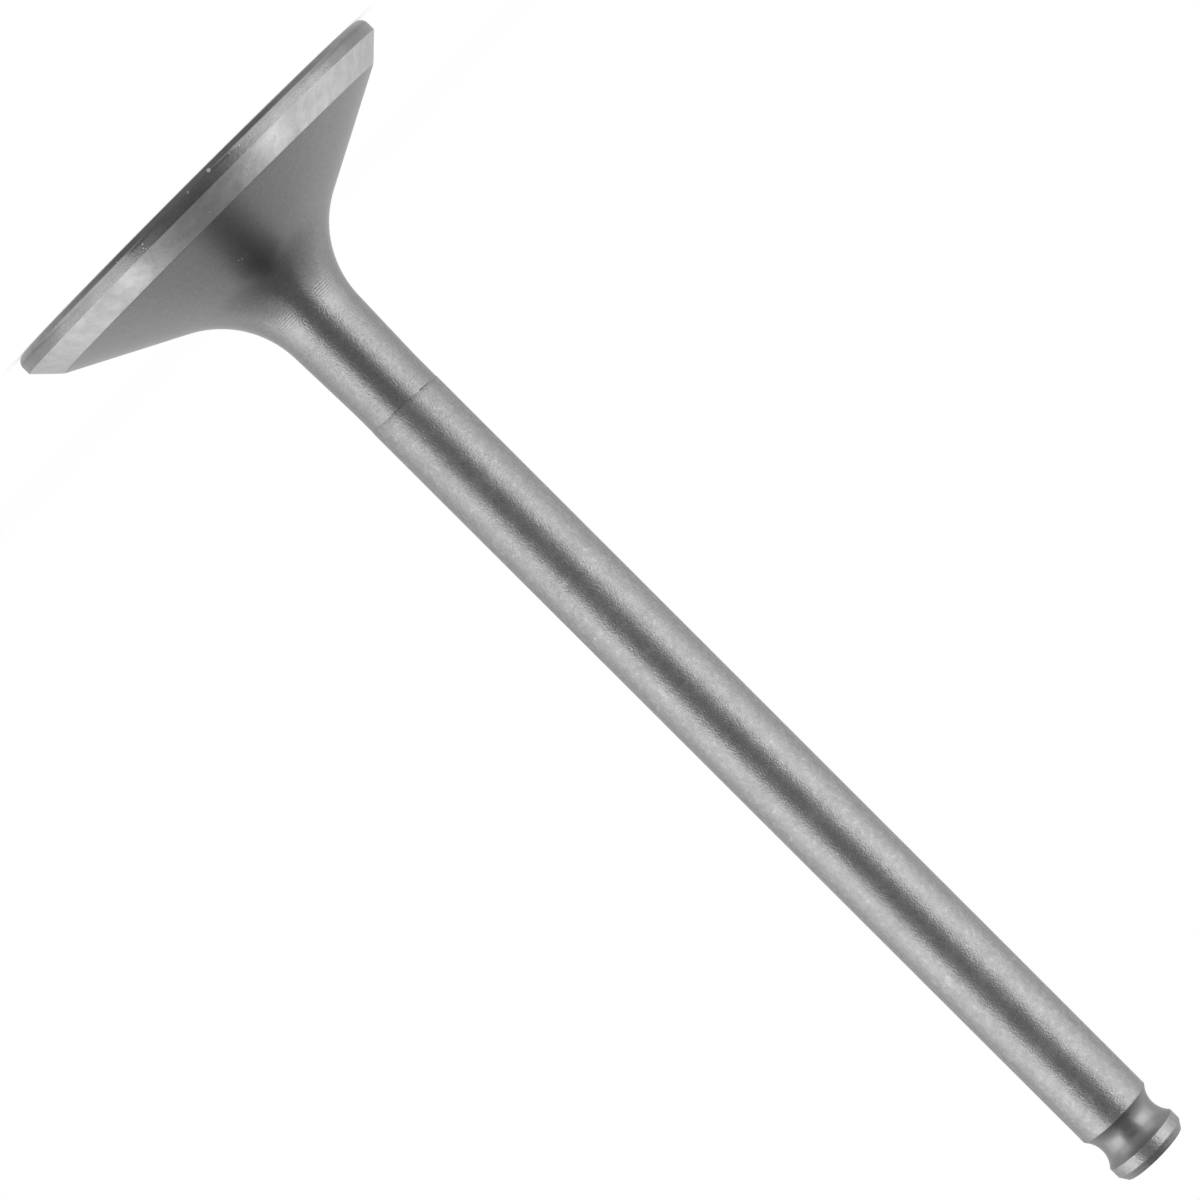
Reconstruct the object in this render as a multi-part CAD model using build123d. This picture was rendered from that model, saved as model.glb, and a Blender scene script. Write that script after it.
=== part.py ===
from build123d import *
import os
from math import cos, radians, sin, sqrt, tan

# Poppet valve for an engine: one solid, forged, turned and ground about a single axis.
# Millimetres. The origin is the centre of the flat combustion face, and +Z runs up the stem
# to the tip, so the valve stands on its head.

overall_length = 127.27         # combustion face to the end of the tip

# Head, from the combustion face up to the back cone
head_diameter = 45.1
margin_height = 1.71            # rim, from the combustion face to the sealing face
face_edge_radius = 0.9          # turned round between the combustion face and the rim
sealing_angle = 44.0            # sealing face, measured from the combustion face
sealing_width = 3.2             # sealing face, measured down its slope
sealing_edge_radius = 1.6       # soft corner between the sealing face and the back cone
cone_angle = 27.4               # back cone, measured from the combustion face

# Neck, the forged part under the ground stem
neck_sweep_radius = 9.9         # large concave sweep from the back cone into the neck
neck_taper_angle = 1.7          # the neck thickens towards the head by this half angle
neck_straight = 2.6             # slimmest run, just under the ground stem
neck_relief = 0.03              # how far the slimmest run lies under the ground stem

# Stem, ground to run in a guide
stem_diameter = 7.94            # nominal 5/16 inch
ground_start = 28.13            # combustion face to the foot of the ground stem
ground_lead_in = 0.03           # height of the chamfer where the grinding runs in

# Keeper groove, one round bead that the two halves of the collet sit in
groove_from_tip = 3.65          # middle of the groove to the end of the tip
groove_round = 2.6              # radius of the groove's section
groove_depth = 0.69             # from the stem's surface to the bottom of the groove
shoulder_radius = 1.36          # rolled shoulder between the ground stem and the groove
lip_radius = 0.08               # broken edge on the tip side of the groove

# Tip
tip_chamfer_length = 0.9        # along the axis
tip_chamfer_angle = 29.5        # measured from the axis
tip_edge_radius = 0.06          # broken edge round the end face


def sealing_foot():
    """(radius, height) where the sealing face ends and the back cone starts."""
    inwards = sealing_width * cos(radians(sealing_angle))
    upwards = sealing_width * sin(radians(sealing_angle))
    return head_diameter / 2 - inwards, margin_height + upwards


def neck_foot():
    """(radius, height) where the back cone's line meets the tapered neck's line."""
    cone_radius, cone_height = sealing_foot()
    cone_rise = tan(radians(cone_angle))
    taper = tan(radians(neck_taper_angle))
    slim_radius = stem_diameter / 2 - neck_relief
    slim_height = ground_start - neck_straight
    cone_apex = cone_height + cone_radius * cone_rise
    neck_at_face = slim_radius + slim_height * taper
    height = (cone_apex - neck_at_face * cone_rise) / (1 - taper * cone_rise)
    return neck_at_face - height * taper, height


def groove_lip_height():
    """Height where the groove's round section comes back out to the stem's surface."""
    half_width = sqrt(groove_round**2 - (groove_round - groove_depth) ** 2)
    return overall_length - groove_from_tip + half_width


def half_section():
    """Everything on one side of the axis, drawn on the XZ plane: X is radius, Y is height."""
    head_radius = head_diameter / 2
    stem_radius = stem_diameter / 2
    slim_radius = stem_radius - neck_relief
    tip_radius = stem_radius - tip_chamfer_length * tan(radians(tip_chamfer_angle))
    groove_height = overall_length - groove_from_tip
    groove_mouth = groove_lip_height() - groove_height

    face_edge = (head_radius, 0)
    tip_edge = (tip_radius, overall_length)
    shoulder = (stem_radius, groove_height - groove_mouth)
    lip = (stem_radius, groove_height + groove_mouth)
    with BuildSketch() as section:
        with BuildLine():
            Polyline(
                (0, 0),
                face_edge,
                (head_radius, margin_height),
                sealing_foot(),
                neck_foot(),
                (slim_radius, ground_start - neck_straight),
                (slim_radius, ground_start),
                (stem_radius, ground_start + ground_lead_in),
                (stem_radius, overall_length - tip_chamfer_length),
                tip_edge,
                (0, overall_length),
                close=True,
            )
        make_face()
        with Locations((stem_radius - groove_depth + groove_round, groove_height)):
            Circle(groove_round, mode=Mode.SUBTRACT)
        round_corner(section, face_edge, face_edge_radius)
        round_corner(section, sealing_foot(), sealing_edge_radius)
        round_corner(section, neck_foot(), neck_sweep_radius)
        round_corner(section, shoulder, shoulder_radius)
        round_corner(section, lip, lip_radius)
        round_corner(section, tip_edge, tip_edge_radius)
    return section.sketch


def round_corner(section, corner, radius):
    """Rounds the corner of the section that lies at (radius, height)."""
    nearest = section.vertices().sort_by_distance((*corner, 0))[0]
    fillet(nearest, radius)


def valve():
    with BuildPart() as part:
        with BuildSketch(Plane.XZ):
            add(half_section())
        revolve(axis=Axis.Z)
    solid = part.part
    solid.label = "valve"
    return solid


os.makedirs("parts", exist_ok=True)
export_step(valve(), "parts/valve.step")
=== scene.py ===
from math import asin, atan2, cos, pi, radians, sin, sqrt, tan

import bpy
from mathutils import Matrix, Vector


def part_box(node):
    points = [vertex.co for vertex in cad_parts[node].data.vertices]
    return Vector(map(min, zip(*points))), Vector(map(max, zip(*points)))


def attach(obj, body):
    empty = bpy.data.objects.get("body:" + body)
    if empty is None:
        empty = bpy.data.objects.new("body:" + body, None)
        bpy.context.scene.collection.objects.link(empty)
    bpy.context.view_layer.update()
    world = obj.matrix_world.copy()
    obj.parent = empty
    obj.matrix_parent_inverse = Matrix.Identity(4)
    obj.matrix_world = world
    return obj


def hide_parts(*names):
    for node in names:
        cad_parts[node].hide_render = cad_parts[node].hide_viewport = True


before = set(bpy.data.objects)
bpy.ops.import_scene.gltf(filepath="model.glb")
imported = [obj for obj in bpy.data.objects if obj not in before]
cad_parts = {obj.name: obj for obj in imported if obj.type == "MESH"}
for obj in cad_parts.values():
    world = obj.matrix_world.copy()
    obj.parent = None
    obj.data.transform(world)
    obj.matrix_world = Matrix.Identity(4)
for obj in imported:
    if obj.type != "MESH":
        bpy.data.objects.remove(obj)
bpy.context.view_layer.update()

MM = 0.001

# ---------------------------------------------------------------------------
# Sizes of the valve, in millimetres. The origin is the centre of the flat
# combustion face, and +Z runs up the stem to the tip.
# ---------------------------------------------------------------------------
low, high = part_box("valve")
OVERALL = high.z / MM
HEAD_RADIUS = min(-low.x, -low.y, high.x, high.y) / MM
MARGIN_HEIGHT = 1.71            # rim, up to the sealing face
MARGIN_EDGE_RADIUS = 0.04       # broken edge between the rim and the sealing face
FACE_EDGE_RADIUS = 0.9          # turned round between the combustion face and the rim
SEALING_ANGLE = 44.0            # from the combustion face
SEALING_WIDTH = 3.2
SEALING_EDGE_RADIUS = 1.6
CONE_ANGLE = 27.4               # from the combustion face
NECK_SWEEP_RADIUS = 9.9
NECK_TAPER_ANGLE = 1.7
NECK_STRAIGHT = 2.6
NECK_RELIEF = 0.03              # slim run of the neck under the ground stem
NECK_BLEND_RADIUS = 40.0        # where the taper runs out into the slim run
STEM_RADIUS = 7.94 / 2
GROUND_START = 28.13            # nominal end of the neck, from which its taper is set out
GROOVE_FROM_TIP = 3.65
GROOVE_ROUND = 2.6
GROOVE_DEPTH = 0.69
GROOVE_REACH = sqrt(GROOVE_ROUND**2 - (GROOVE_ROUND - GROOVE_DEPTH) ** 2)   # middle to lip
SHOULDER_RADIUS = 0.25          # crisp, as where rolling meets the ground stem
LIP_RADIUS = 0.08
TIP_CHAMFER_LENGTH = 0.8
TIP_CHAMFER_ANGLE = 32.5        # from the axis
TIP_CHAMFER_BREAK = 0.12        # worn corner between the collar and the chamfer
TIP_EDGE_RADIUS = 0.06

# The witness line, a fine groove that runs a little askew where the grinding starts
WITNESS_HEIGHT = 28.05          # on the axis
WITNESS_TILT = 3.4              # degrees, higher on the -X side
WITNESS_WIDTH = 0.12
WITNESS_DEPTH = 0.0035
WITNESS_LEAD = 0.4              # above the groove, where the stem comes up to its full size

ROUND_STEPS = 256               # faces round the valve
ARC_STEP = radians(3)           # turn of one face along a rounded corner
HOLDING = 0.25                  # rings beside each corner, which keep long faces' shading straight


def sealing_foot():
    """(radius, height) where the sealing face ends and the back cone starts."""
    return (HEAD_RADIUS - SEALING_WIDTH * cos(radians(SEALING_ANGLE)),
            MARGIN_HEIGHT + SEALING_WIDTH * sin(radians(SEALING_ANGLE)))


def neck_foot():
    """(radius, height) where the back cone's line meets the tapered neck's line."""
    cone_radius, cone_height = sealing_foot()
    rise = tan(radians(CONE_ANGLE))
    taper = tan(radians(NECK_TAPER_ANGLE))
    neck_at_face = STEM_RADIUS - NECK_RELIEF + (GROUND_START - NECK_STRAIGHT) * taper
    height = (cone_height + cone_radius * rise - neck_at_face * rise) / (1 - taper * rise)
    return neck_at_face - height * taper, height


def groove_corners():
    """Corners of the keeper groove, each (radius, height, rounding)."""
    centre_r = STEM_RADIUS - GROOVE_DEPTH + GROOVE_ROUND
    centre_z = OVERALL - GROOVE_FROM_TIP
    across = centre_r - (STEM_RADIUS - SHOULDER_RADIUS)
    shoulder_z = centre_z - sqrt((GROOVE_ROUND + SHOULDER_RADIUS) ** 2 - across**2)
    shoulder_turn = atan2(centre_z - shoulder_z, across)
    lip_turn = asin(GROOVE_REACH / GROOVE_ROUND)
    lip_z = centre_z + GROOVE_REACH
    run = GROOVE_ROUND * tan((shoulder_turn + lip_turn) / 2)
    # the groove's bottom corner lies where the tangents at its two ends meet
    bottom = (STEM_RADIUS - run * sin(lip_turn), lip_z - run * cos(lip_turn))
    return [
        (STEM_RADIUS, shoulder_z + SHOULDER_RADIUS * tan(shoulder_turn / 2), SHOULDER_RADIUS),
        (*bottom, GROOVE_ROUND),
        (STEM_RADIUS, lip_z, LIP_RADIUS),
    ]


def section_corners():
    """The half section from the centre of the face round to the centre of the tip, each
    corner as (radius, height, rounding)."""
    slim = STEM_RADIUS - NECK_RELIEF
    tip_radius = STEM_RADIUS - TIP_CHAMFER_LENGTH * tan(radians(TIP_CHAMFER_ANGLE))
    return [
        (0, 0, 0),
        (HEAD_RADIUS, 0, FACE_EDGE_RADIUS),
        (HEAD_RADIUS, MARGIN_HEIGHT, MARGIN_EDGE_RADIUS),
        (*sealing_foot(), SEALING_EDGE_RADIUS),
        (*neck_foot(), NECK_SWEEP_RADIUS),
        (slim, GROUND_START - NECK_STRAIGHT, NECK_BLEND_RADIUS),
        (slim, WITNESS_HEIGHT - WITNESS_WIDTH / 2, 0),
        (slim - WITNESS_DEPTH, WITNESS_HEIGHT, 0),
        (slim + WITNESS_DEPTH, WITNESS_HEIGHT + WITNESS_WIDTH / 2, 0),
        (STEM_RADIUS, WITNESS_HEIGHT + WITNESS_LEAD, 0),
        *groove_corners(),
        (STEM_RADIUS, OVERALL - TIP_CHAMFER_LENGTH, TIP_CHAMFER_BREAK),
        (tip_radius, OVERALL, TIP_EDGE_RADIUS),
        (0, OVERALL, 0),
    ]


# ---------------------------------------------------------------------------
# Colours and nodes
# ---------------------------------------------------------------------------
def linear(hex_colour):
    """An sRGB hex colour as linear RGBA."""
    parts = [int(hex_colour[i:i + 2], 16) / 255 for i in (1, 3, 5)]
    return (*[c / 12.92 if c <= 0.04045 else ((c + 0.055) / 1.055) ** 2.4 for c in parts], 1.0)


def per_mm(size):
    """Texture scale at which a noise or cell pattern has features of this size in millimetres."""
    return 1 / (size * MM)


def rings_per_mm(pitch):
    """Wave texture scale at which its rings or bands lie this many millimetres apart."""
    return pi / (10 * pitch * MM)


def node(tree, kind, settings=None, links=None, **properties):
    """Adds one node: properties on the node, settings on its inputs, links from other outputs."""
    made = tree.nodes.new(kind)
    for name, value in properties.items():
        setattr(made, name, value)
    for name, value in (settings or {}).items():
        made.inputs[name].default_value = value
    for name, output in (links or {}).items():
        tree.links.new(output, made.inputs[name])
    return made


def bare_steel(name):
    """A new metal with the default IOR: its material, tree, shader and coordinates in metres."""
    material = bpy.data.materials.new(name)
    material.use_nodes = True
    tree = material.node_tree
    shader = tree.nodes["Principled BSDF"]
    shader.inputs["Metallic"].default_value = 1.0
    # steel brightens less than other metals where it is seen at a grazing angle
    shader.inputs["Specular Tint"].default_value = linear("#E3E3E3")
    place = node(tree, "ShaderNodeTexCoord").outputs["Object"]
    return material, tree, shader, place


# ---------------------------------------------------------------------------
# Materials
# ---------------------------------------------------------------------------
def spots(tree, place, marks, core=0.6):
    """1 in the core of each mark, fading to 0 at its radius. A mark is (x, y, z, radius) in mm."""
    mask = None
    for x, y, z, radius in marks:
        far = node(tree, "ShaderNodeVectorMath", operation="DISTANCE", links={0: place},
                   settings={1: (x * MM, y * MM, z * MM)})
        near = node(tree, "ShaderNodeMapRange", links={"Value": far.outputs["Value"]},
                    settings={"From Min": radius * MM, "From Max": core * radius * MM,
                              "To Min": 0.0, "To Max": 1.0}, interpolation_type="SMOOTHSTEP")
        if mask is None:
            mask = near.outputs[0]
        else:
            mask = node(tree, "ShaderNodeMath", operation="MAXIMUM",
                        links={0: mask, 1: near.outputs[0]}).outputs[0]
    return mask


# Valve steel, face and rim turned with a fine feed: dark satin, with faint rings that follow the
# tool, a haze of handling marks and a few nicks on the rim, drawn near-white as painted glints.
RIM_NICK_GLINTS = [(-2.43, -22.31, 0.51, 0.24), (0.25, -22.48, 0.6, 0.09), (0.4, -22.48, 0.68, 0.06),
             (-4.4, -21.8, 0.3, 0.07), (6.4, -21.6, 1.0, 0.07), (6.65, -21.55, 1.3, 0.06),
             (6.5, -21.6, 1.5, 0.05), (9.2, -20.5, 0.5, 0.06), (17.3, -14.35, 0.6, 0.06),
             (18.5, -12.5, 0.3, 0.06), (-7.3, -21.3, 0.9, 0.06), (-6.9, -21.5, 0.95, 0.07),
             (-5.96, -21.75, 0.9, 0.06), (-4.8, -22.0, 0.75, 0.06)]


def turned_face_steel():
    material, tree, shader, place = bare_steel("valve_steel_fine_turned")
    haze = node(tree, "ShaderNodeTexNoise", links={"Vector": place},
                settings={"Scale": per_mm(2.2), "Detail": 4.0, "Roughness": 0.6})
    tone = node(tree, "ShaderNodeMix", data_type="RGBA", links={0: haze.outputs["Fac"]},
                settings={6: linear("#868686"), 7: linear("#AAAAAA")})
    # the nicks are real dings; their near-white colour is a painted glint
    nick_glints = spots(tree, place, RIM_NICK_GLINTS)
    painted_shine = node(tree, "ShaderNodeMix", data_type="RGBA", links={0: nick_glints, 6: tone.outputs[2]},
                  settings={7: linear("#F4F4F4")})
    tree.links.new(painted_shine.outputs[2], shader.inputs["Base Color"])
    rough = node(tree, "ShaderNodeMapRange", links={"Value": nick_glints},
                 settings={"To Min": 0.27, "To Max": 0.75})
    tree.links.new(rough.outputs[0], shader.inputs["Roughness"])
    # 0.2 mm feed marks, coarser than the real ones so that they show
    rings = node(tree, "ShaderNodeTexWave", wave_type="RINGS", rings_direction="Z",
                 links={"Vector": place},
                 settings={"Scale": rings_per_mm(0.2), "Distortion": 1.2, "Detail": 2.0})
    # 0.25 mm grain, drawn coarse as well
    fine = node(tree, "ShaderNodeTexNoise", links={"Vector": place},
                settings={"Scale": per_mm(0.25), "Detail": 2.0})
    cut = node(tree, "ShaderNodeBump", links={"Height": rings.outputs["Fac"]},
               settings={"Distance": 0.003 * MM})
    grain = node(tree, "ShaderNodeBump",
                 links={"Height": fine.outputs["Fac"], "Normal": cut.outputs[0]},
                 settings={"Distance": 0.01 * MM})
    tree.links.new(grain.outputs[0], shader.inputs["Normal"])
    return material


# Valve steel, plunge ground at 44 degrees: the brightest band, hazed in patches of about 1 mm
# where the wheel loaded, with two patches of painted highlight and painted glints. Its fine lines
# run round it, so that they spread a light along the axis.
SEAT_HIGHLIGHTS = [(9.1, -19.8, 2.4, 2.9), (-8.5, -20.1, 2.6, 2.9)]
SEAT_GLINTS = [(9.4, -19.7, 2.2, 0.16), (9.0, -19.6, 2.7, 0.12), (8.8, -20.1, 2.1, 0.1),
               (-8.9, -20.2, 2.2, 0.12), (-8.6, -20.0, 2.7, 0.14), (-8.4, -19.7, 3.1, 0.12),
               (-9.3, -20.3, 1.95, 0.1), (0.13, -20.97, 3.22, 0.1)]


def ground_seat_steel():
    material, tree, shader, place = bare_steel("valve_steel_plunge_ground")
    patches = node(tree, "ShaderNodeTexNoise", links={"Vector": place},
                   settings={"Scale": per_mm(1.2), "Detail": 5.0, "Roughness": 0.65})
    depth = node(tree, "ShaderNodeMapRange", links={"Value": patches.outputs["Fac"]},
                 settings={"From Min": 0.35, "From Max": 0.65})
    tone = node(tree, "ShaderNodeMix", data_type="RGBA", links={0: depth.outputs[0]},
                settings={6: linear("#C6C6C6"), 7: linear("#D8D8D8")})
    uneven = node(tree, "ShaderNodeMapRange", links={"Value": depth.outputs[0]},
                  settings={"To Min": 0.55, "To Max": 0.85})
    highlight_patches = node(tree, "ShaderNodeMath", operation="MULTIPLY",
                  links={0: spots(tree, place, SEAT_HIGHLIGHTS, core=0.1), 1: uneven.outputs[0]})
    highlights_and_glints = node(tree, "ShaderNodeMath", operation="MAXIMUM",
                  links={0: spots(tree, place, SEAT_GLINTS), 1: highlight_patches.outputs[0]})
    # painted highlight and glints: the seat is mixed towards near-white in these spots
    painted_shine = node(tree, "ShaderNodeMix", data_type="RGBA",
                  links={0: highlights_and_glints.outputs[0], 6: tone.outputs[2]}, settings={7: linear("#FAFAFA")})
    tree.links.new(painted_shine.outputs[2], shader.inputs["Base Color"])
    rough = node(tree, "ShaderNodeMapRange", links={"Value": patches.outputs["Fac"]},
                 settings={"From Min": 0.35, "From Max": 0.65, "To Min": 0.46, "To Max": 0.5})
    tree.links.new(rough.outputs[0], shader.inputs["Roughness"])
    shader.inputs["Anisotropic"].default_value = 0.85
    shader.inputs["Anisotropic Rotation"].default_value = 0.25
    round_axis = node(tree, "ShaderNodeTangent", direction_type="RADIAL", axis="Z")
    tree.links.new(round_axis.outputs[0], shader.inputs["Tangent"])
    # the wheel's grit, drawn at 0.3 mm so that it shows
    fine = node(tree, "ShaderNodeTexNoise", links={"Vector": place},
                settings={"Scale": per_mm(0.3), "Detail": 2.0})
    grain = node(tree, "ShaderNodeBump", links={"Height": fine.outputs["Fac"]},
                 settings={"Distance": 0.02 * MM})
    tree.links.new(grain.outputs[0], shader.inputs["Normal"])
    return material


# Valve steel, forged and then turned smooth: an even dull grey that holds no sharp reflection,
# with a short run of tool chatter where the sweep meets the neck.
# heights, in millimetres
CHATTER_FROM, CHATTER_TO = 14.3, 16.4
CONE_END, SWEEP_MIDDLE = 9.5, 13            # where the polish changes
SWEEP_START, SWEEP_END = 10, 17             # where the grain comes up
CONE_NICK_GLINTS = [(1.1, -12.06, 8.14, 0.08), (1.4, -12.3, 8.0, 0.07), (1.6, -12.0, 8.2, 0.06),
              (0.7, -12.1, 8.1, 0.06), (1.5, -12.6, 7.9, 0.06)]


def forged_neck_steel():
    material, tree, shader, place = bare_steel("valve_steel_forged_smooth")
    mottle = node(tree, "ShaderNodeTexNoise", links={"Vector": place},
                  settings={"Scale": per_mm(0.4), "Detail": 4.0, "Roughness": 0.75})
    tone = node(tree, "ShaderNodeMix", data_type="RGBA", links={0: mottle.outputs["Fac"]},
                settings={6: linear("#7A7A7A"), 7: linear("#A6A6A6")})
    # nicks on the cone: real dings, with a near-white colour that is a painted glint
    nick_glints = spots(tree, place, CONE_NICK_GLINTS)
    painted_shine = node(tree, "ShaderNodeMix", data_type="RGBA", links={0: nick_glints, 6: tone.outputs[2]},
                  settings={7: linear("#E8E8E8")})
    tree.links.new(painted_shine.outputs[2], shader.inputs["Base Color"])
    # the cone is duller than the neck, and the nicks are duller still
    height = node(tree, "ShaderNodeSeparateXYZ", links={"Vector": place})
    duller = node(tree, "ShaderNodeMapRange", links={"Value": height.outputs["Z"]},
                  settings={"From Min": CONE_END * MM, "From Max": SWEEP_MIDDLE * MM,
                            "To Min": 0.3, "To Max": 0.225})
    nicked = node(tree, "ShaderNodeMath", operation="MULTIPLY", links={0: nick_glints}, settings={1: 0.7})
    rough = node(tree, "ShaderNodeMath", operation="MAXIMUM",
                 links={0: duller.outputs[0], 1: nicked.outputs[0]})
    tree.links.new(rough.outputs[0], shader.inputs["Roughness"])
    # 0.26 mm chatter, strongest in the middle of its run and in patches
    middle = (CHATTER_FROM + CHATTER_TO) / 2 * MM
    half = (CHATTER_TO - CHATTER_FROM) / 2 * MM
    off_middle = node(tree, "ShaderNodeMath", operation="SUBTRACT",
                      links={0: height.outputs["Z"]}, settings={1: middle})
    away = node(tree, "ShaderNodeMath", operation="ABSOLUTE", links={0: off_middle.outputs[0]})
    run = node(tree, "ShaderNodeMapRange", links={"Value": away.outputs[0]},
               settings={"From Min": half, "From Max": half / 3, "To Min": 0.0, "To Max": 1.0},
               interpolation_type="SMOOTHSTEP")
    clouds = node(tree, "ShaderNodeTexNoise", links={"Vector": place},
                  settings={"Scale": per_mm(2.0), "Detail": 2.0})
    strength = node(tree, "ShaderNodeMath", operation="MULTIPLY",
                    links={0: run.outputs[0], 1: clouds.outputs["Fac"]})
    chatter = node(tree, "ShaderNodeTexWave", wave_type="BANDS", bands_direction="Z",
                   links={"Vector": place},
                   settings={"Scale": rings_per_mm(0.26), "Distortion": 0.6, "Detail": 2.0})
    ridges = node(tree, "ShaderNodeBump", links={"Height": chatter.outputs["Fac"],
                                                 "Strength": strength.outputs[0]},
                  settings={"Distance": 0.02 * MM})
    # the grain, drawn at 0.17 mm so that it shows, is almost polished away on the cone and
    # comes up along the sweep
    coarse = node(tree, "ShaderNodeMapRange", links={"Value": height.outputs["Z"]},
                  settings={"From Min": SWEEP_START * MM, "From Max": SWEEP_END * MM,
                            "To Min": 0.15, "To Max": 1.0})
    fine = node(tree, "ShaderNodeTexNoise", links={"Vector": place},
                settings={"Scale": per_mm(0.17), "Detail": 2.0, "Roughness": 0.6})
    grain = node(tree, "ShaderNodeBump", links={"Height": fine.outputs["Fac"],
                                                "Strength": coarse.outputs[0],
                                                "Normal": ridges.outputs[0]},
                 settings={"Distance": 0.036 * MM})
    tree.links.new(grain.outputs[0], shader.inputs["Normal"])
    return material


# Valve steel, centreless ground: a fine even speckle with no direction, dull patches a few
# millimetres long, and small bright flecks painted into its colour as glints.
def ground_stem_steel():
    material, tree, shader, place = bare_steel("valve_steel_centreless_ground")
    clouds = node(tree, "ShaderNodeTexNoise", links={"Vector": place},
                  settings={"Scale": per_mm(3.0), "Detail": 4.0, "Roughness": 0.6})
    mottle = node(tree, "ShaderNodeTexNoise", links={"Vector": place},
                  settings={"Scale": per_mm(0.6), "Detail": 4.0, "Roughness": 0.85})
    tone = node(tree, "ShaderNodeMix", data_type="RGBA", links={0: mottle.outputs["Fac"]},
                settings={6: linear("#727272"), 7: linear("#B2B2B2")})
    # painted glints: the lightest mottle is mixed towards near-white
    painted_glints = node(tree, "ShaderNodeMapRange", links={"Value": mottle.outputs["Fac"]},
                  settings={"From Min": 0.6, "From Max": 0.9})
    painted_shine = node(tree, "ShaderNodeMix", data_type="RGBA",
                  links={0: painted_glints.outputs[0], 6: tone.outputs[2]}, settings={7: linear("#D0D0D0")})
    tree.links.new(painted_shine.outputs[2], shader.inputs["Base Color"])
    rough = node(tree, "ShaderNodeMapRange", links={"Value": clouds.outputs["Fac"]},
                 settings={"From Min": 0.3, "From Max": 0.7, "To Min": 0.25, "To Max": 0.36})
    tree.links.new(rough.outputs[0], shader.inputs["Roughness"])
    waves = node(tree, "ShaderNodeBump", links={"Height": clouds.outputs["Fac"]},
                 settings={"Distance": 0.03 * MM})
    # the wheel's grit, drawn at 0.17 mm so that it shows
    speckle = node(tree, "ShaderNodeTexNoise", links={"Vector": place},
                   settings={"Scale": per_mm(0.17), "Detail": 2.0, "Roughness": 0.6})
    grit = node(tree, "ShaderNodeBump", links={"Height": speckle.outputs["Fac"],
                                               "Normal": waves.outputs[0]},
                settings={"Distance": 0.038 * MM})
    tree.links.new(grit.outputs[0], shader.inputs["Normal"])
    return material


# Witness groove: dull and dark on the -Y side a little towards -X, broken along its length and
# lighter towards both ends.
DARK_MIDDLE, DARK_FULL, DARK_END = -0.75, 1.5, 2.7      # along X, in millimetres


def witness_groove_steel():
    material, tree, shader, place = bare_steel("valve_steel_groove_dark")
    side = node(tree, "ShaderNodeSeparateXYZ", links={"Vector": place})
    off_middle = node(tree, "ShaderNodeMath", operation="SUBTRACT",
                      links={0: side.outputs["X"]}, settings={1: DARK_MIDDLE * MM})
    away = node(tree, "ShaderNodeMath", operation="ABSOLUTE", links={0: off_middle.outputs[0]})
    fading = node(tree, "ShaderNodeMapRange", links={"Value": away.outputs[0]},
                settings={"From Min": DARK_FULL * MM, "From Max": DARK_END * MM})
    patches = node(tree, "ShaderNodeTexNoise", links={"Vector": place},
                   settings={"Scale": per_mm(0.5), "Detail": 2.0})
    broken = node(tree, "ShaderNodeMapRange", links={"Value": patches.outputs["Fac"]},
                  settings={"From Min": 0.4, "From Max": 0.65})
    lightened = node(tree, "ShaderNodeMath", operation="MAXIMUM",
                 links={0: fading.outputs[0], 1: broken.outputs[0]})
    tone = node(tree, "ShaderNodeMix", data_type="RGBA", links={0: lightened.outputs[0]},
                settings={6: linear("#4C4C4C"), 7: linear("#989898")})
    tree.links.new(tone.outputs[2], shader.inputs["Base Color"])
    shader.inputs["Roughness"].default_value = 0.35
    return material


# Valve steel, groove rolled and polished: smooth, so that the lights gather in soft round spots.
def rolled_groove_steel():
    material, tree, shader, place = bare_steel("valve_steel_rolled_groove")
    shader.inputs["Base Color"].default_value = linear("#8E8E8E")
    shader.inputs["Roughness"].default_value = 0.3
    fine = node(tree, "ShaderNodeTexNoise", links={"Vector": place},
                settings={"Scale": per_mm(0.3), "Detail": 2.0})
    grain = node(tree, "ShaderNodeBump", links={"Height": fine.outputs["Fac"]},
                 settings={"Distance": 0.012 * MM})
    tree.links.new(grain.outputs[0], shader.inputs["Normal"])
    return material


# Valve steel, tip turned and hardened: fine rings round the collar, the chamfer and the end.
def turned_tip_steel():
    material, tree, shader, place = bare_steel("valve_steel_hardened_tip")
    grime = node(tree, "ShaderNodeTexNoise", links={"Vector": place},
                 settings={"Scale": per_mm(0.4), "Detail": 4.0, "Roughness": 0.7})
    tone = node(tree, "ShaderNodeMix", data_type="RGBA", links={0: grime.outputs["Fac"]},
                settings={6: linear("#7E7E7E"), 7: linear("#B0B0B0")})
    tree.links.new(tone.outputs[2], shader.inputs["Base Color"])
    shader.inputs["Roughness"].default_value = 0.34
    # 0.22 mm feed marks and 0.25 mm grain, coarser than the real ones so that they show
    rings = node(tree, "ShaderNodeTexWave", wave_type="RINGS", rings_direction="Z",
                 links={"Vector": place},
                 settings={"Scale": rings_per_mm(0.22), "Distortion": 2.0, "Detail": 3.0})
    fine = node(tree, "ShaderNodeTexNoise", links={"Vector": place},
                settings={"Scale": per_mm(0.25), "Detail": 2.0})
    cut = node(tree, "ShaderNodeBump", links={"Height": rings.outputs["Fac"]},
               settings={"Distance": 0.012 * MM})
    grain = node(tree, "ShaderNodeBump",
                 links={"Height": fine.outputs["Fac"], "Normal": cut.outputs[0]},
                 settings={"Distance": 0.04 * MM})
    tree.links.new(grain.outputs[0], shader.inputs["Normal"])
    return material


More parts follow.
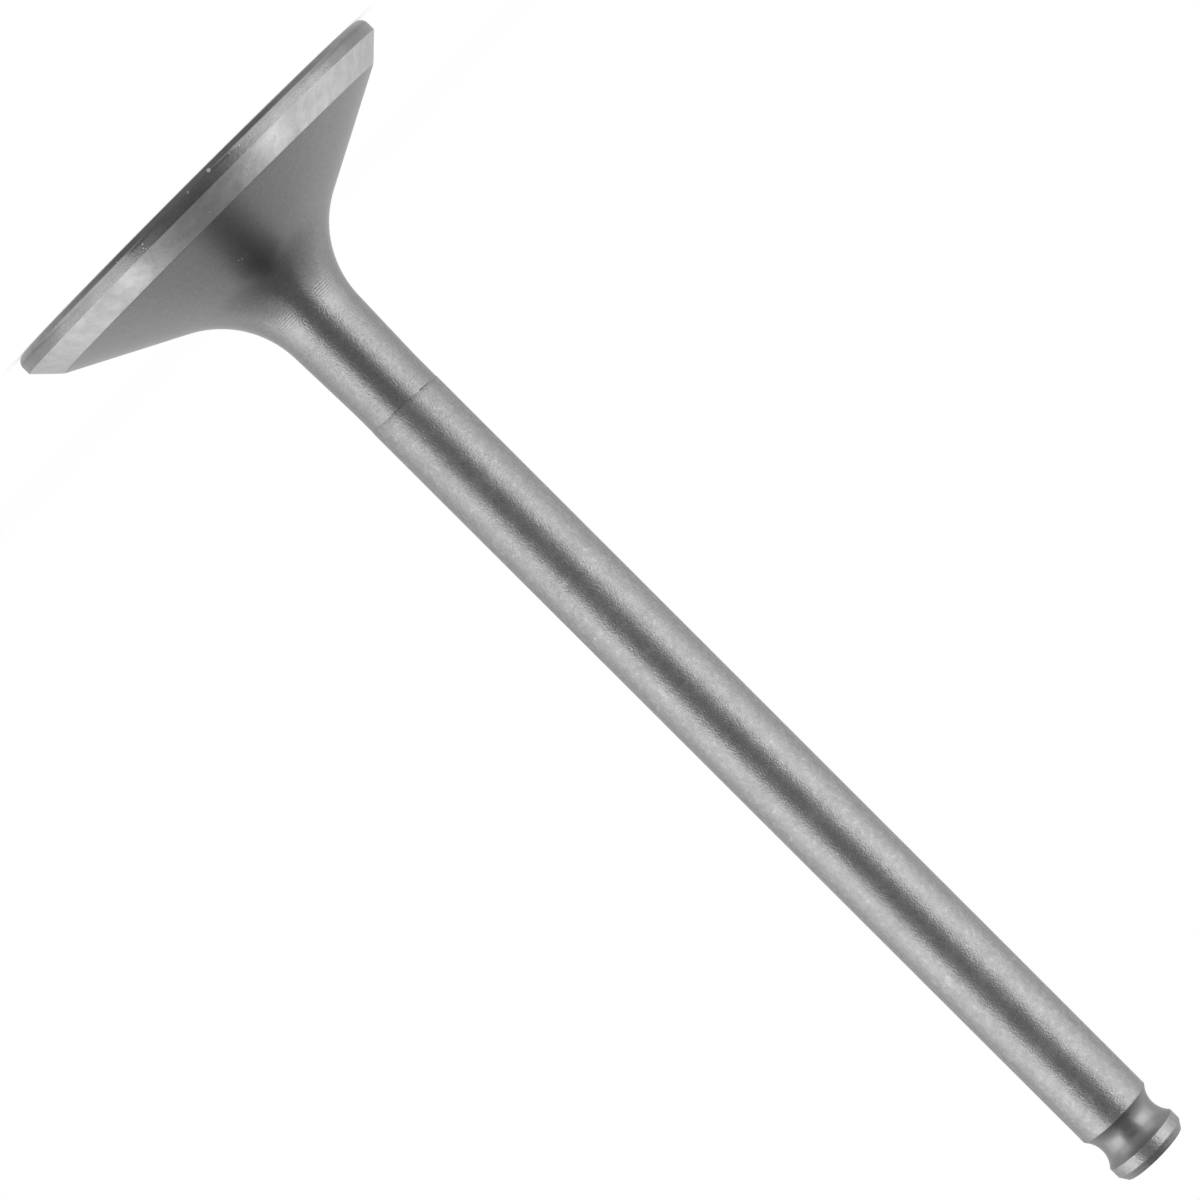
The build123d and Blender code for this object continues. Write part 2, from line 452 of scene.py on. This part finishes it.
# ---------------------------------------------------------------------------
# The valve
# ---------------------------------------------------------------------------
def turned_solid(name, corners):
    """Draws the half section as one chain of edges and spins it once round the axis."""
    bpy.ops.object.select_all(action="DESELECT")
    bpy.ops.mesh.primitive_plane_add(size=MM)
    piece = bpy.context.object
    piece.name = name
    bpy.ops.object.mode_set(mode="EDIT")
    bpy.ops.mesh.select_mode(type="VERT")
    bpy.ops.mesh.merge(type="CENTER")
    here = Vector((0, 0, 0))

    def line_to(there):
        nonlocal here
        step = there - here
        holding = HOLDING * MM
        if step.length > 3 * holding:
            along = step.normalized()
            bpy.ops.mesh.extrude_region_move(TRANSFORM_OT_translate={"value": along * holding})
            bpy.ops.mesh.extrude_region_move(
                TRANSFORM_OT_translate={"value": step - along * holding * 2})
            bpy.ops.mesh.extrude_region_move(TRANSFORM_OT_translate={"value": along * holding})
        elif step.length > 1e-4 * MM:
            bpy.ops.mesh.extrude_region_move(TRANSFORM_OT_translate={"value": step})
        here = there

    points = [Vector((r * MM, 0, z * MM)) for r, z, _ in corners]
    for i in range(1, len(corners)):
        rounding = corners[i][2] * MM
        if rounding == 0:
            line_to(points[i])
            continue
        before = (points[i] - points[i - 1]).normalized()
        after = (points[i + 1] - points[i]).normalized()
        # positive where the section turns from +X towards +Z, as on an outside corner
        turn = atan2(before.x * after.z - before.z * after.x, before.dot(after))
        line_to(points[i] - before * rounding * tan(abs(turn) / 2))
        side = 1 if turn > 0 else -1
        centre = here + Vector((-before.z, 0, before.x)) * rounding * side
        steps = max(3, round(abs(turn) / ARC_STEP))
        bpy.ops.mesh.spin(steps=steps, angle=turn, center=centre, axis=(0, 1, 0))
        here = points[i] + after * rounding * tan(abs(turn) / 2)
    bpy.ops.mesh.select_all(action="SELECT")
    bpy.ops.mesh.spin(steps=ROUND_STEPS, angle=2 * pi, center=(0, 0, 0), axis=(0, 0, 1))
    bpy.ops.mesh.select_all(action="SELECT")
    bpy.ops.mesh.remove_doubles(threshold=1e-3 * MM)
    bpy.ops.mesh.normals_make_consistent(inside=False)
    bpy.ops.object.mode_set(mode="OBJECT")
    return piece


def tilt_witness(piece):
    """Turns the rings of the witness groove a little about Y."""
    middle = WITNESS_HEIGHT * MM
    bpy.ops.object.mode_set(mode="EDIT")
    bpy.ops.mesh.select_all(action="DESELECT")
    bpy.ops.object.mode_set(mode="OBJECT")
    for vertex in piece.data.vertices:
        vertex.select = abs(vertex.co.z - middle) < WITNESS_WIDTH * MM
    bpy.ops.object.mode_set(mode="EDIT")
    bpy.ops.transform.rotate(value=-radians(WITNESS_TILT), orient_axis="Y",
                             center_override=(0, 0, middle))
    bpy.ops.object.mode_set(mode="OBJECT")


def above_witness(point):
    """Height in millimetres over the witness groove's tilted plane."""
    return (point.z + point.x * tan(radians(WITNESS_TILT))) / MM - WITNESS_HEIGHT


def dress(piece):
    """Gives each stretch of the valve the finish of the tool that made it."""
    groove_foot = OVERALL - GROOVE_FROM_TIP - GROOVE_REACH
    collar_foot = OVERALL - GROOVE_FROM_TIP + GROOVE_REACH
    finishes = [
        (turned_face_steel(), lambda c: c.z / MM < MARGIN_HEIGHT),
        (ground_seat_steel(), lambda c: c.z / MM < sealing_foot()[1]),
        (forged_neck_steel(), lambda c: above_witness(c) < -WITNESS_WIDTH / 2),
        (witness_groove_steel(), lambda c: above_witness(c) < WITNESS_WIDTH / 2),
        (ground_stem_steel(), lambda c: c.z / MM < groove_foot),
        (rolled_groove_steel(), lambda c: c.z / MM < collar_foot),
        (turned_tip_steel(), lambda c: True),
    ]
    for material, _ in finishes:
        piece.data.materials.append(material)
    for face in piece.data.polygons:
        fits = [covers(face.center) for _, covers in finishes]
        face.material_index = fits.index(True)


valve = turned_solid("valve_body", section_corners())
tilt_witness(valve)
bpy.ops.object.shade_smooth_by_angle(angle=radians(30))
dress(valve)
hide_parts("valve")
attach(valve, "root")

# ---------------------------------------------------------------------------
# Camera
# ---------------------------------------------------------------------------
CAMERA_DISTANCE = 0.655         # from the stem's axis
CAMERA_HEIGHT = 0.01292         # above the combustion face
AIM_HEIGHT = 0.053855           # point of the axis in the middle of the picture
AIM_SIDE = 0.00003
AXIS_ROLL = radians(44.9636)    # the stem runs down to the right at this angle
LENS = 211.95                   # millimetres
SENSOR = 36.0                   # millimetres


def add_camera():
    data = bpy.data.cameras.new("camera")
    data.lens = LENS
    data.sensor_width = SENSOR
    camera = bpy.data.objects.new("camera", data)
    bpy.context.scene.collection.objects.link(camera)
    place = Vector((AIM_SIDE, -CAMERA_DISTANCE, CAMERA_HEIGHT))
    aim = Vector((AIM_SIDE, 0, AIM_HEIGHT))
    back = (place - aim).normalized()
    along = (Vector((0, 0, 1)) - back * back.z).normalized()    # the stem as the camera sees it
    across = back.cross(along)                                  # -X, up to the right in the picture
    right = along * cos(AXIS_ROLL) + across * sin(AXIS_ROLL)
    up = across * cos(AXIS_ROLL) - along * sin(AXIS_ROLL)
    turn = Matrix((right, up, back)).transposed().to_4x4()
    camera.matrix_world = Matrix.Translation(place) @ turn
    bpy.context.scene.camera = camera


# ---------------------------------------------------------------------------
# Studio: white all round, two softboxes at each side, and grey cards that only the metal's
# reflections see
# ---------------------------------------------------------------------------
LIGHTS_TURN = radians(4)        # the lights stand a little round to the +X side of the camera
# (azimuth from the camera's side in degrees, width in metres, radiance over the white behind it)
SIDE_BOXES = [(57, 0.77, 1.05), (92, 0.5, 0.5)]
SIDE_BOX_DISTANCE = 1.0
SIDE_BOX_TALL = 0.69
WORLD_FILL = 0.6                # what the world gives surfaces that aren't glossy
FLOOR_GLOW = 0.5

# The cards' greys, where 1 is white. A pair is graded, from a centre outwards.
CAMERA_CARD = 0.03              # the black camera, low in front
FRONT_CARD = 0.36
UPPER_CARD = 0.23
TOP_STRIP = 0.25, 0.2
CEILING = 0.3, 0.94
LOW_CARDS = {-1: 2.1, 1: 1.6}   # bright strips that the rim faces, by side
FLOOR_SHADE = 0.7, 0.8
SIDE_SHADE = 0.3, 1.2
RIM_MAT = 1.3, 0.5
FRONT_SHADE = 0.22, 0.52
HEAD_SHADE = 0.3, 0.85

# Mats lie over one another, each a hair above the last
FLOOR_SHADE_RISE, SIDE_SHADE_RISE, RIM_MAT_RISE = 2e-5, 4e-5, 5e-5
FRONT_SHADE_RISE, HEAD_SHADE_RISE = 6e-5, 8e-5

CARD_AWAY = 1.2                 # the upright cards in front stand this far off
CEILING_HEIGHT = 1.3
STRIP_HEIGHT = 1.28


def background_rays(tree):
    """1 for the rays that should see a white background: camera, glossy and transmission rays."""
    path = node(tree, "ShaderNodeLightPath")
    seen = node(tree, "ShaderNodeMath", operation="MAXIMUM",
                links={0: path.outputs["Is Camera Ray"], 1: path.outputs["Is Glossy Ray"]})
    seen = node(tree, "ShaderNodeMath", operation="MAXIMUM",
                links={0: seen.outputs[0], 1: path.outputs["Is Transmission Ray"]})
    return seen.outputs[0]


def add_world():
    world = bpy.data.worlds.new("studio")
    bpy.context.scene.world = world
    world.use_nodes = True
    tree = world.node_tree
    tree.nodes.clear()
    white = node(tree, "ShaderNodeBackground", settings={"Strength": 1.0, "Color": (1, 1, 1, 1)})
    fill = node(tree, "ShaderNodeBackground",
                settings={"Strength": WORLD_FILL, "Color": (1, 1, 1, 1)})
    mix = node(tree, "ShaderNodeMixShader",
               links={0: background_rays(tree), 1: fill.outputs[0], 2: white.outputs[0]})
    node(tree, "ShaderNodeOutputWorld", links={"Surface": mix.outputs[0]})


def softbox(name, place, towards, width, tall, radiance):
    """A rectangular lamp of even radiance, which the camera doesn't see."""
    data = bpy.data.lights.new(name, "AREA")
    data.shape = "RECTANGLE"
    data.size = width
    data.size_y = tall
    data.energy = radiance * pi * width * tall
    box = bpy.data.objects.new(name, data)
    bpy.context.scene.collection.objects.link(box)
    box.location = place
    box.rotation_euler = (Vector(towards) - Vector(place)).to_track_quat("-Z", "Y").to_euler()
    box.visible_camera = False


def make_card(card, name, grey, far_grey=None, centre=(0, 0, 0), reach=(0, 1)):
    """Makes a mesh a card that only glossy rays see, of one grey or graded outwards from a
    centre. The grade runs over this reach, as two distances from the centre."""
    card.name = name
    material = bpy.data.materials.new(name)
    material.use_nodes = True
    tree = material.node_tree
    tree.nodes.clear()
    glow = node(tree, "ShaderNodeEmission", settings={"Color": (1, 1, 1, 1), "Strength": grey})
    if far_grey is not None:
        place = node(tree, "ShaderNodeTexCoord").outputs["Object"]
        far = node(tree, "ShaderNodeVectorMath", operation="DISTANCE", links={0: place},
                   settings={1: centre})
        graded = node(tree, "ShaderNodeMapRange", links={"Value": far.outputs["Value"]},
                      settings={"From Min": reach[0], "From Max": reach[1],
                                "To Min": grey, "To Max": far_grey})
        tree.links.new(graded.outputs[0], glow.inputs["Strength"])
    node(tree, "ShaderNodeOutputMaterial", links={"Surface": glow.outputs[0]})
    card.data.materials.append(material)
    card.visible_camera = False
    card.visible_diffuse = False
    card.visible_shadow = False


def flat_card(name, corners, *shading, turn=LIGHTS_TURN):
    """A flat card with these four corners, turned about the valve's axis. Its shading is what
    make_card takes after the name."""
    bpy.ops.object.select_all(action="DESELECT")
    bpy.ops.mesh.primitive_plane_add(size=1)
    made = bpy.context.object
    # a plane's own corners come in rows, not in a ring
    for vertex, corner in zip(made.data.vertices, (corners[0], corners[1], corners[3], corners[2])):
        vertex.co = corner
    made.rotation_euler.z = turn
    make_card(made, name, *shading)


def round_card(name, radius, height, *shading):
    """A round card that lies flat at this height."""
    bpy.ops.object.select_all(action="DESELECT")
    bpy.ops.mesh.primitive_circle_add(vertices=96, radius=radius, fill_type="NGON",
                                      location=(0, 0, height))
    make_card(bpy.context.object, name, *shading)


def add_floor():
    bpy.ops.object.select_all(action="DESELECT")
    bpy.ops.mesh.primitive_plane_add(size=6)
    floor = bpy.context.object
    floor.name = "studio_floor"
    material = bpy.data.materials.new("studio_floor")
    material.use_nodes = True
    tree = material.node_tree
    tree.nodes.clear()
    paper = node(tree, "ShaderNodeBsdfDiffuse", settings={"Color": linear("#E8E8E8")})
    glow = node(tree, "ShaderNodeMath", operation="MULTIPLY", settings={1: FLOOR_GLOW},
                links={0: background_rays(tree)})
    shine = node(tree, "ShaderNodeEmission", settings={"Color": (1, 1, 1, 1)},
                 links={"Strength": glow.outputs[0]})
    both = node(tree, "ShaderNodeAddShader", links={0: paper.outputs[0], 1: shine.outputs[0]})
    node(tree, "ShaderNodeOutputMaterial", links={"Surface": both.outputs[0]})
    floor.data.materials.append(material)


def add_softboxes(side):
    for azimuth, width, radiance in SIDE_BOXES:
        turn = radians(azimuth) * side + LIGHTS_TURN
        place = (SIDE_BOX_DISTANCE * sin(turn), -SIDE_BOX_DISTANCE * cos(turn), SIDE_BOX_TALL / 2)
        softbox(f"softbox_{azimuth}_{side}", place, (0, 0, SIDE_BOX_TALL / 2),
                width, SIDE_BOX_TALL, radiance)


def add_side_cards(side, rim):
    """A mat of painted shade, the rim mat and the upright strip at one side, off the front quarter
    of the rim.
    """
    near_corners = [(side * 0.3 * rim, -0.955 * rim), (side * 0.9 * rim, -0.4 * rim)]
    # painted shade on the floor beside the head, seen only in reflections: darkest near the valve
    flat_card(f"side_painted_shade_{side}", [
        *[(x, y, SIDE_SHADE_RISE) for x, y in near_corners],
        (side * 0.95, -0.16, SIDE_SHADE_RISE), (side * 0.6, -0.8, SIDE_SHADE_RISE)],
        *SIDE_SHADE, (0, 0, 0), (0.08, 0.19))
    flat_card(f"rim_mat_{side}", [
        *[(x, y, RIM_MAT_RISE) for x, y in near_corners],
        (side * 1.6 * rim, -0.6 * rim, RIM_MAT_RISE),
        (side * 0.7 * rim, -1.45 * rim, RIM_MAT_RISE)],
        *RIM_MAT, (side * 0.6 * rim, -0.85 * rim, 0), (0.15 * rim, 0.6 * rim))
    flat_card(f"low_card_{side}", [
        (side * 0.034, -0.043, 0), (side * 0.055, -0.006, 0),
        (side * 0.055, -0.006, 0.005), (side * 0.034, -0.043, 0.005)], LOW_CARDS[side])


def add_front_cards():
    """The camera, and the dark cards over it."""
    flat_card("low_front_card", [
        (-0.017, -0.06, 0), (0.017, -0.06, 0),
        (0.017, -0.06, 0.004), (-0.017, -0.06, 0.004)], CAMERA_CARD)
    flat_card("camera_card", [
        (-0.22, -0.64, 0), (0.22, -0.64, 0),
        (0.22, -0.64, 0.1), (-0.22, -0.64, 0.1)], CAMERA_CARD)
    flat_card("front_card", [
        (-0.88, -CARD_AWAY, 0), (0.88, -CARD_AWAY, 0),
        (0.68, -CARD_AWAY, 0.5), (-0.68, -CARD_AWAY, 0.5)], FRONT_CARD)
    flat_card("upper_card", [
        (-0.6, -CARD_AWAY, 0.5), (0.76, -CARD_AWAY, 0.5),
        (0.6, -CARD_AWAY, STRIP_HEIGHT), (-0.55, -CARD_AWAY, STRIP_HEIGHT)], UPPER_CARD, turn=0)
    flat_card("top_strip", [
        (-0.55, -CARD_AWAY, STRIP_HEIGHT), (0.6, -CARD_AWAY, STRIP_HEIGHT),
        (0.3, 0.35, STRIP_HEIGHT), (-0.3, 0.35, STRIP_HEIGHT)],
        *TOP_STRIP, (0, -0.9, STRIP_HEIGHT), (0.3, 0.6), turn=0)


def add_studio():
    add_world()
    add_floor()
    rim = HEAD_RADIUS * MM
    for side in (-1, 1):
        add_softboxes(side)
        add_side_cards(side, rim)
    add_front_cards()
    round_card("ceiling", 5.0, CEILING_HEIGHT, *CEILING, (0.05, 0, 0), (0.3, 1.6))
    # painted shade on the floor round the valve, seen only in reflections: darker near it
    round_card("floor_painted_shade", 0.6, FLOOR_SHADE_RISE, *FLOOR_SHADE, (0, 0, 0), (0.03, 0.2))
    # painted shade on the floor in front of the head, and painted contact shade close round its
    # foot, both seen only in reflections and darkest in front
    flat_card("front_painted_shade", [
        (-0.31 * rim, -rim, FRONT_SHADE_RISE), (0.31 * rim, -rim, FRONT_SHADE_RISE),
        (0.9, -CARD_AWAY, FRONT_SHADE_RISE), (-0.9, -CARD_AWAY, FRONT_SHADE_RISE)],
        *FRONT_SHADE, (0, -rim, 0), (0.3 * rim, 6 * rim))
    round_card("head_painted_shade", 1.016 * rim, HEAD_SHADE_RISE, *HEAD_SHADE, (0, -rim, 0),
               (0.4 * rim, 1.06 * rim))


add_camera()
add_studio()
bpy.context.scene.view_settings.view_transform = "Standard"
